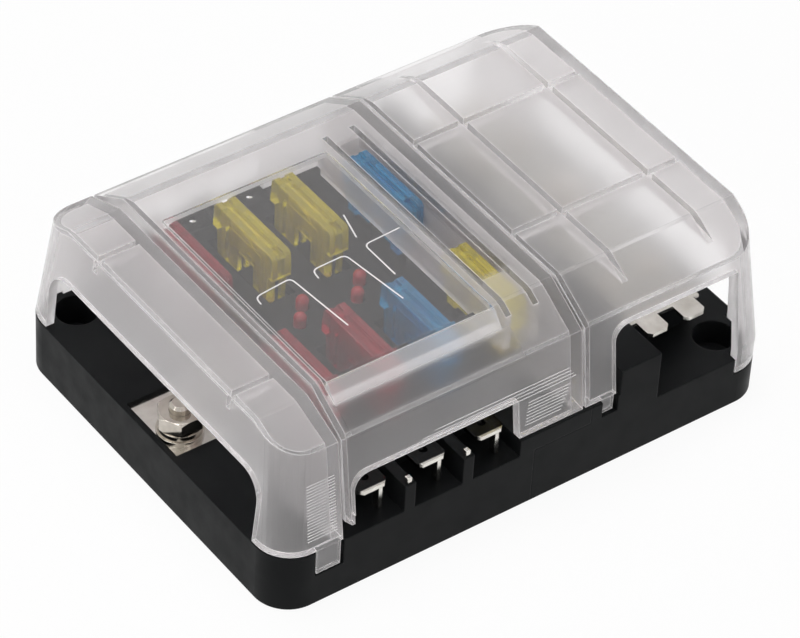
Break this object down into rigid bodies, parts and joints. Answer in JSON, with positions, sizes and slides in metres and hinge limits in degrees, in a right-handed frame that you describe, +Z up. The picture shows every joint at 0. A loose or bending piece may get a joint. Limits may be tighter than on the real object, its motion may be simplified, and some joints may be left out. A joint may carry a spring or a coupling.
{
  "type": "modular fuse box",
  "caption": "Modular blade fuse box: black lapped bases, spade outputs, indicator lamps, studs and three translucent covers that snap off.",
  "frame": {"origin": "centre of the bottom face, on the surface that the box is screwed to", "axes": "+X along the length, from the supply stud to the ground bus; +Y from the front row of terminals to the rear row; +Z up, out of the bottom face"},
  "size_m": [0.11, 0.083, 0.04],
  "materials": {
    "black_moulding": "fine satin moulded black",
    "plated_copper": "bright tin plate",
    "plated_steel": "bright nickel plate",
    "circuit_board": "green board",
    "lamp_red": "clear red",
    "frosted_cover": "frosted clear",
    "window_cover": "frosted clear with a polished window",
    "fuse_red": "clear red",
    "fuse_yellow": "clear yellow",
    "fuse_blue": "clear blue"
  },
  "bodies": {
    "base": {"fuse_base": "black_moulding", "bus_base": "black_moulding", "floor_plate": "black_moulding", "supply_busbar": "plated_copper", "supply_stud": "plated_steel", "supply_washer": "plated_steel", "supply_spring_washer": "plated_steel", "supply_nut": "plated_steel", "front_terminal_1": "plated_copper", "front_terminal_2": "plated_copper", "front_terminal_3": "plated_copper", "rear_terminal_1": "plated_copper", "rear_terminal_2": "plated_copper", "rear_terminal_3": "plated_copper", "front_fuse_body_1": "fuse_red", "front_fuse_body_2": "fuse_red", "front_fuse_body_3": "fuse_blue", "rear_fuse_body_1": "fuse_red", "rear_fuse_body_2": "fuse_yellow", "rear_fuse_body_3": "fuse_yellow", "front_fuse_element_1": "plated_copper", "front_fuse_element_2": "plated_copper", "front_fuse_element_3": "plated_copper", "rear_fuse_element_1": "plated_copper", "rear_fuse_element_2": "plated_copper", "rear_fuse_element_3": "plated_copper", "front_lamp_1": "lamp_red", "front_lamp_2": "lamp_red", "front_lamp_3": "lamp_red", "rear_lamp_1": "lamp_red", "rear_lamp_2": "lamp_red", "rear_lamp_3": "lamp_red", "lamp_board": "circuit_board", "ground_bus": "plated_copper", "ground_stud": "plated_steel", "ground_washer": "plated_steel", "ground_spring_washer": "plated_steel", "ground_nut": "plated_steel", "bus_screws": "plated_steel", "lap_screws": "plated_steel"},
    "stud_cover": {"stud_cover": "frosted_cover"},
    "fuse_cover": {"fuse_cover": "window_cover", "spare_fuse_body_1": "fuse_yellow", "spare_fuse_element_1": "plated_copper", "spare_fuse_body_2": "fuse_blue", "spare_fuse_element_2": "plated_copper"},
    "bus_cover": {"bus_cover": "frosted_cover"}
  },
  "joints": [
    {"name": "stud_cover_lift", "type": "slide", "parent": "base", "child": "stud_cover", "axis": [0, 0, 1], "range_m": [0, 0.04]},
    {"name": "fuse_cover_lift", "type": "slide", "parent": "base", "child": "fuse_cover", "axis": [0, 0, 1], "range_m": [0, 0.04]},
    {"name": "bus_cover_lift", "type": "slide", "parent": "base", "child": "bus_cover", "axis": [0, 0, 1], "range_m": [0, 0.04]}
  ]
}
